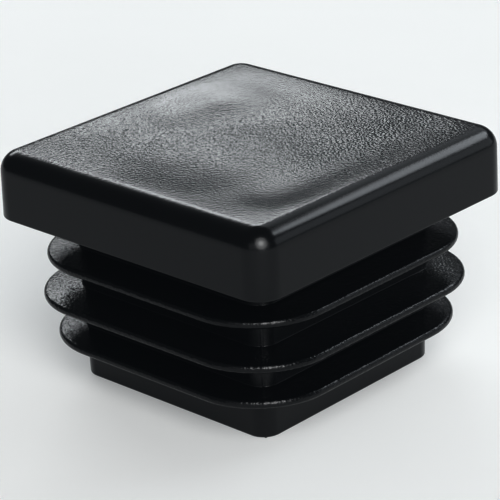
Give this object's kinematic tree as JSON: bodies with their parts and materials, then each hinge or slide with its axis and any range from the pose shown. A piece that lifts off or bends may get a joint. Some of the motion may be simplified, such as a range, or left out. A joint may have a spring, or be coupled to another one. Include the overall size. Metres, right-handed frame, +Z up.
{
  "type": "tube end cap",
  "caption": "Square end cap for a square tube: a flat head with rounded edges on a hollow skirt ringed by thin flexible ribs that grip the bore.",
  "frame": {"origin": "centre of the skirt's open rim, on the surface the cap stands on", "axes": "+Z up along the skirt, from the open rim to the outer face; X and Y square to the sides"},
  "size_m": [0.025, 0.025, 0.0168],
  "materials": {
    "polyethylene": "black, satin, with a fine grain on the outer face and the ribs"
  },
  "bodies": {
    "root": {"end_cap": "polyethylene"}
  },
  "joints": []
}
